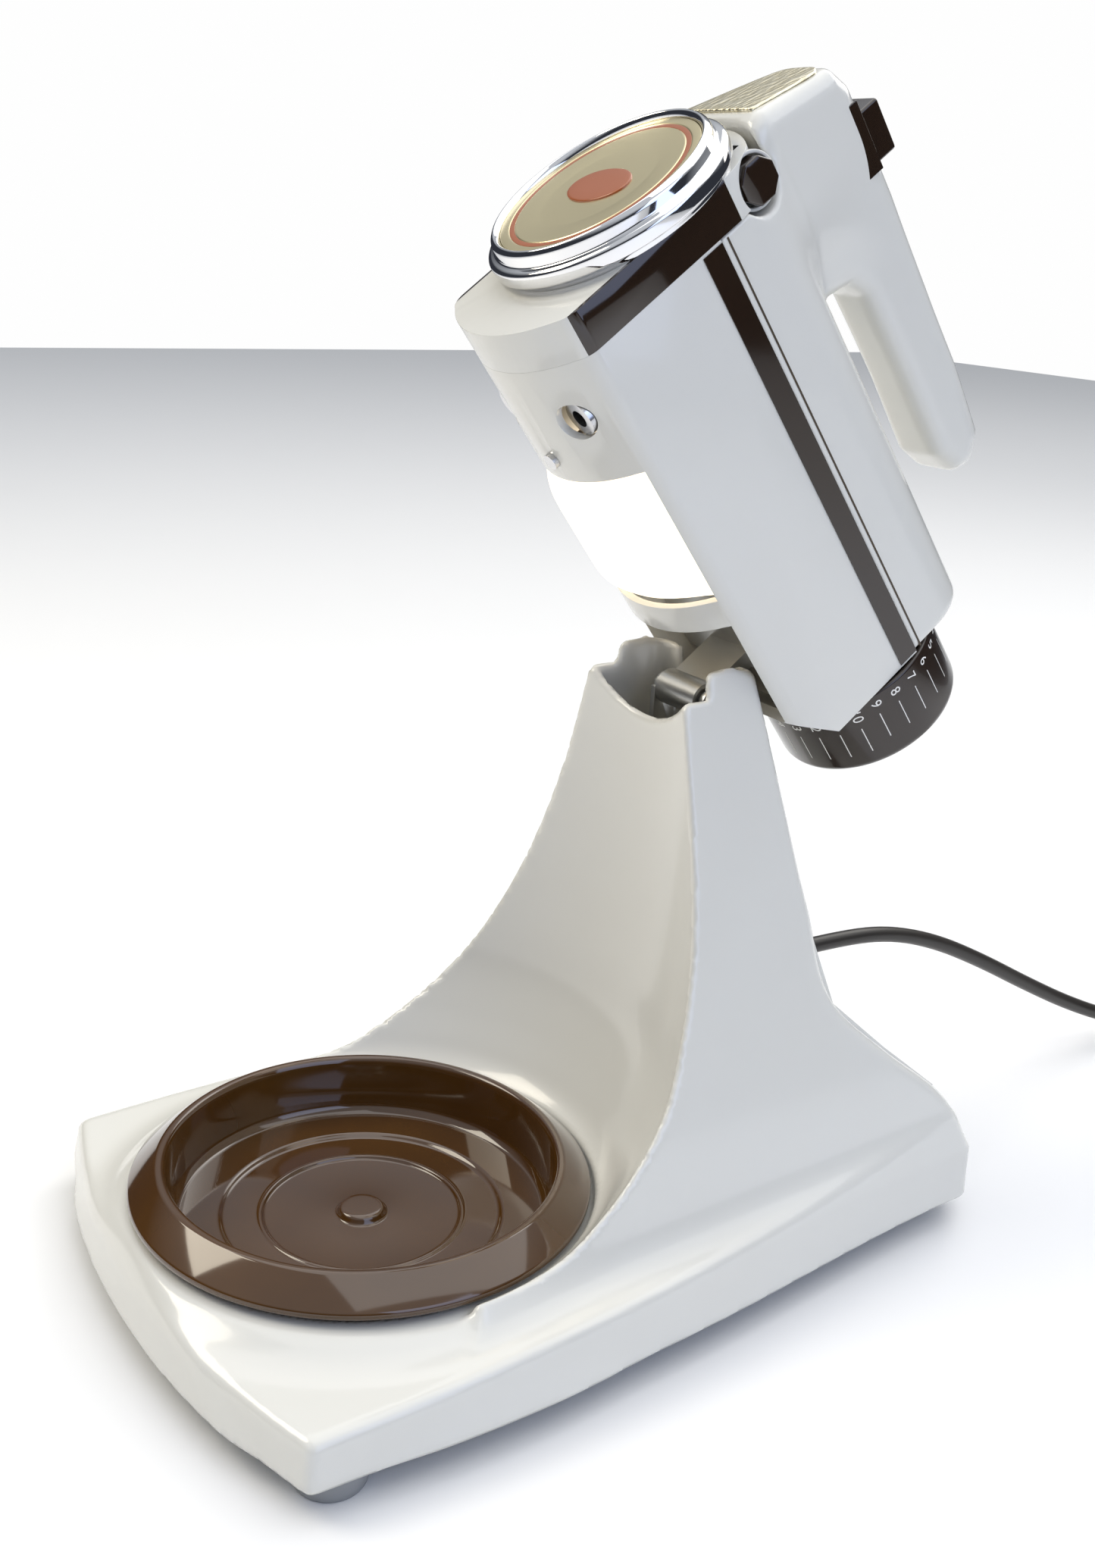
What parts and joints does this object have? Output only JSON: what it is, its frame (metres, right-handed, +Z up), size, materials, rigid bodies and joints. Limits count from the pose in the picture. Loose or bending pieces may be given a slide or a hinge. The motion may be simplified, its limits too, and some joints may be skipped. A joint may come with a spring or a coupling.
{
  "type": "stand mixer",
  "caption": "Household stand mixer: a wide base with a free-turning bowl plate, and a motor head with a handle that tilts back on the column.",
  "frame": {"origin": "centre of the footprint box, on the surface the feet stand on, without the lead", "axes": "+Z up, +Y from the turntable towards the column, +X to the right of someone behind the dial who looks at the turntable's far side, which is the knob's side"},
  "size_m": [0.2274, 0.653, 0.4358],
  "materials": {
    "cream_plastic": "gloss",
    "brown_plastic": "gloss",
    "dial_plastic": "satin",
    "chrome_trim": "polished",
    "brass_disc": "brushed",
    "gold_plate": "textured",
    "grey_rubber": "matte",
    "cord_rubber": "satin",
    "steel_plate": "zinc plated",
    "steel_shaft": "ground",
    "core_steel": "laminated",
    "casting": "cast",
    "bronze": "sintered",
    "copper": "enamelled",
    "carbon": "matte",
    "black_plastic": "matte",
    "wheel_plastic": "matte",
    "ceramic": "glazed",
    "lens_plastic": "frosted",
    "bulb_glass": "clear"
  },
  "bodies": {
    "stand": {"stand_shell": "cream_plastic", "base_plate": "steel_plate", "rubber_feet": "grey_rubber", "foot_screws": "steel_shaft", "column_rear_cover": "cream_plastic", "strain_relief": "cord_rubber", "hinge_bracket": "steel_plate", "bracket_screws": "steel_shaft", "hinge_pin": "steel_shaft", "turntable_spindle": "steel_shaft", "turntable_washer": "wheel_plastic", "power_cord": "cord_rubber", "cord_coil": "cord_rubber", "mains_plug": "cord_rubber"},
    "turntable": {"turntable": "brown_plastic"},
    "head": {"lower_housing": "cream_plastic", "upper_housing": "cream_plastic", "handle": "cream_plastic", "handle_front_plate": "gold_plate", "nose_cover": "cream_plastic", "nose_trim_left": "brown_plastic", "nose_trim_right": "brown_plastic", "side_stripe_left": "brown_plastic", "side_stripe_right": "brown_plastic", "cap_ring": "chrome_trim", "cap_disc": "brass_disc", "light_lens": "lens_plastic", "lamp_bulb": "bulb_glass", "lamp_socket": "ceramic", "lamp_reflector": "steel_plate", "hinge_arm": "steel_plate", "gear_frame": "casting", "spindle_bushings": "bronze", "stator_core": "core_steel", "field_coils": "copper", "brush_holders": "bronze", "carbon_brushes": "carbon", "motor_end_bracket": "steel_plate", "motor_bearings": "bronze", "motor_bolts": "steel_shaft", "housing_screw": "steel_shaft", "speed_switch": "black_plastic", "nose_knob_collar": "cream_plastic", "knob_bracket": "steel_plate", "ejector_spring": "steel_shaft", "ejector_label": "brown_plastic"},
    "armature": {"motor_shaft": "steel_shaft", "armature_core": "core_steel", "commutator": "copper", "cooling_fan": "black_plastic"},
    "spindle_left": {"beater_spindle_left": "steel_shaft", "worm_wheel_left": "wheel_plastic"},
    "spindle_right": {"beater_spindle_right": "steel_shaft", "worm_wheel_right": "wheel_plastic"},
    "dial": {"speed_dial": "dial_plastic", "dial_shaft": "black_plastic"},
    "ejector": {"ejector_button": "brown_plastic", "ejector_rod": "steel_shaft"},
    "knob": {"nose_knob": "chrome_trim", "nose_knob_cap": "brown_plastic"}
  },
  "joints": [
    {"name": "head_tilt", "type": "hinge", "parent": "stand", "child": "head", "pos_m": [0, 0.0504, 0.212], "axis": [1, 0, 0], "range_deg": [0, 52.5]},
    {"name": "turntable_spin", "type": "hinge", "parent": "stand", "child": "turntable", "pos_m": [0, -0.0858, 0.022], "axis": [0, 0, 1], "continuous": true},
    {"name": "motor_spin", "type": "hinge", "parent": "head", "child": "armature", "pos_m": [0, 0.06655, 0.30002], "axis": [0, -0.6088, 0.7934], "continuous": true},
    {"name": "spindle_left_spin", "type": "hinge", "parent": "head", "child": "spindle_left", "pos_m": [-0.021, 0.01172, 0.34454], "axis": [0, 0.7934, 0.6088], "continuous": true},
    {"name": "spindle_right_spin", "type": "hinge", "parent": "head", "child": "spindle_right", "pos_m": [0.021, 0.01172, 0.34454], "axis": [0, 0.7934, 0.6088], "continuous": true},
    {"name": "speed_dial_turn", "type": "hinge", "parent": "head", "child": "dial", "pos_m": [0, 0.1256, 0.22307], "axis": [0, -0.6088, 0.7934], "range_deg": [0, 300]},
    {"name": "ejector_press", "type": "slide", "parent": "head", "child": "ejector", "axis": [0, -0.7934, -0.6088], "range_m": [0, 0.005], "stiffness_N_per_m": 600, "springref_m": -0.002},
    {"name": "nose_knob_turn", "type": "hinge", "parent": "head", "child": "knob", "pos_m": [0, 0.03617, 0.39646], "axis": [1, 0, 0], "range_deg": [0, 90]}
  ],
  "couplings": [
    {"joint": "spindle_left_spin", "follows": "motor_spin", "ratio": 0.05},
    {"joint": "spindle_right_spin", "follows": "motor_spin", "ratio": -0.05}
  ]
}
